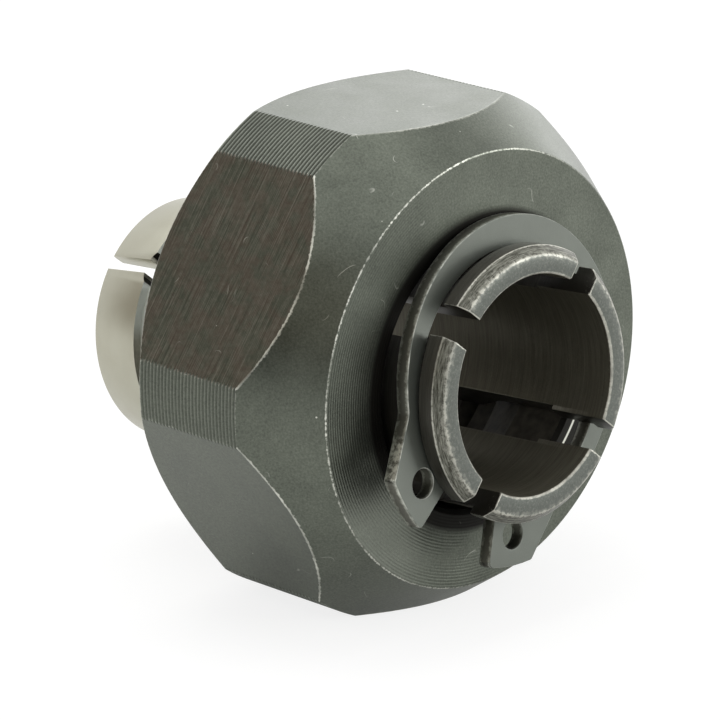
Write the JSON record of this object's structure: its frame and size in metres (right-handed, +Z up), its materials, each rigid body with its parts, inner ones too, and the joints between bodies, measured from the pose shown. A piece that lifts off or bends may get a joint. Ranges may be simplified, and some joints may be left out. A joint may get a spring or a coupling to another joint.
{
  "type": "router collet",
  "caption": "Hexagon nut that draws a slotted collet into a router's spindle to grip a round tool shank; a snap ring holds the collet loosely in the nut.",
  "frame": {"origin": "centre of the nut's rear face, on the nut's axis, where the spindle's thread goes in", "axes": "+X along the nut's axis towards the side where the tool goes in, +Z up, with one flat of the hexagon facing down, +Y to the left of the tool side"},
  "size_m": [0.03, 0.0312, 0.0286],
  "materials": {
    "blackened_nut": "black oxide over turned and milled steel, worn at the edges",
    "blackened_collet": "black oxide, with ground bright bands on its taper",
    "phosphated_spring_steel": "satin grey, stamped"
  },
  "bodies": {
    "nut": {"collet_nut": "blackened_nut"},
    "ring": {"retaining_ring": "phosphated_spring_steel"},
    "collet": {"collet": "blackened_collet"}
  },
  "joints": [
    {"name": "collet_rock", "type": "hinge", "parent": "nut", "child": "ring", "pos_m": [0.0178, 0, 0], "axis": [0, 1, 0], "range_deg": [0, 8.8]},
    {"name": "collet_spin", "type": "hinge", "parent": "ring", "child": "collet", "pos_m": [0.0178, 0, 0], "axis": [0.9971, 0, 0.0767], "continuous": true}
  ]
}
